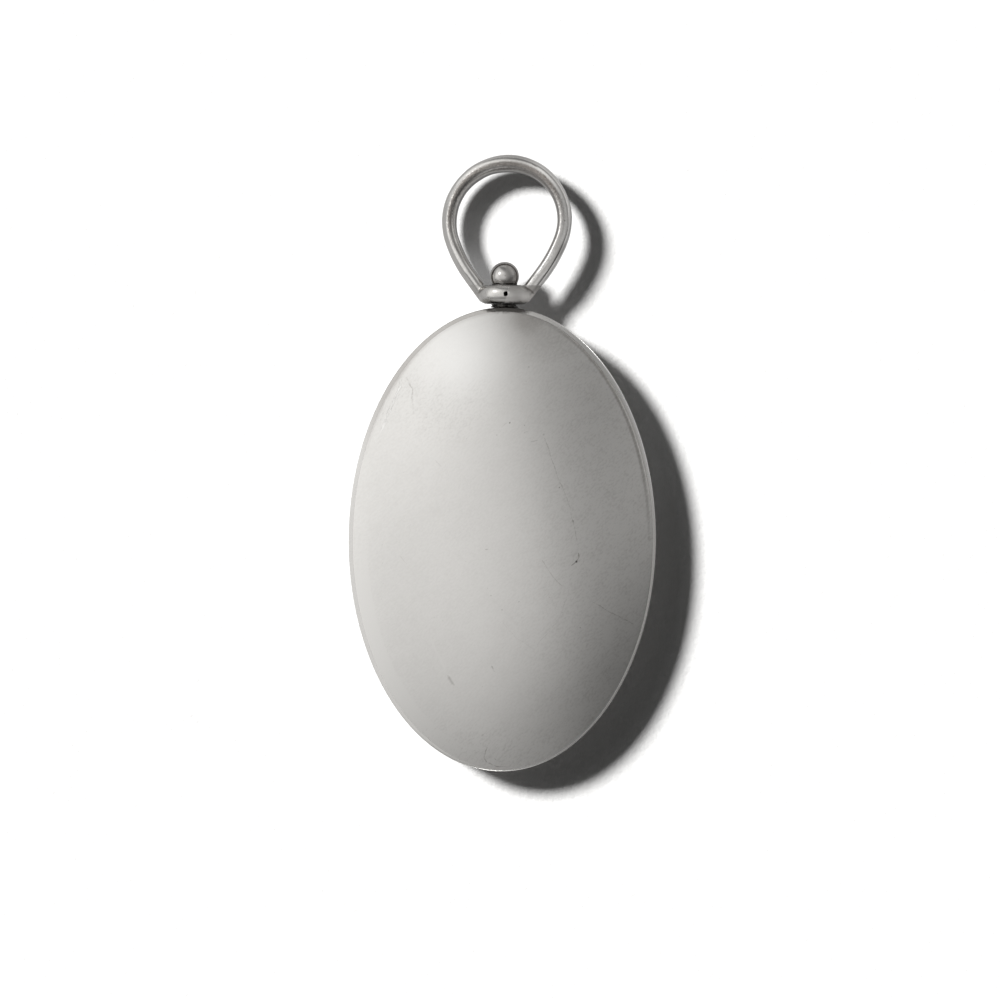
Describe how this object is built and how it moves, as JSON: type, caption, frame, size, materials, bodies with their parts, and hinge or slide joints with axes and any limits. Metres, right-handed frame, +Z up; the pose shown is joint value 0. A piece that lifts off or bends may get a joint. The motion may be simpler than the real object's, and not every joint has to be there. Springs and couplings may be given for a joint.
{
  "type": "oval charm pendant",
  "caption": "Hollow oval metal pendant: a shallow case closed by a domed back cover in a narrow rim, with a teardrop bail that swivels on a ball-headed pin.",
  "frame": {"origin": "centre of the outline on the surface that the pendant lies on, halfway along its whole length", "axes": "+X across the oval, +Y along its length towards the bail, +Z up out of the domed back"},
  "size_m": [0.0198, 0.04, 0.0058],
  "materials": {
    "case_metal": "polished pale grey precious metal, lightly worn",
    "cover_metal": "satin-polished pale grey precious metal with fine scratches",
    "pin_metal": "polished ball head, darkened by tarnish in the neck",
    "bail_metal": "polished wire with worn, slightly rough patches"
  },
  "bodies": {
    "pendant": {"front_shell": "case_metal", "back_shell": "cover_metal", "swivel_pin": "pin_metal"},
    "bail": {"bail": "bail_metal"}
  },
  "joints": [
    {"name": "bail_swivel", "type": "hinge", "parent": "pendant", "child": "bail", "pos_m": [0, 0.01087, 0.00275], "axis": [0, 1, 0], "continuous": true}
  ]
}
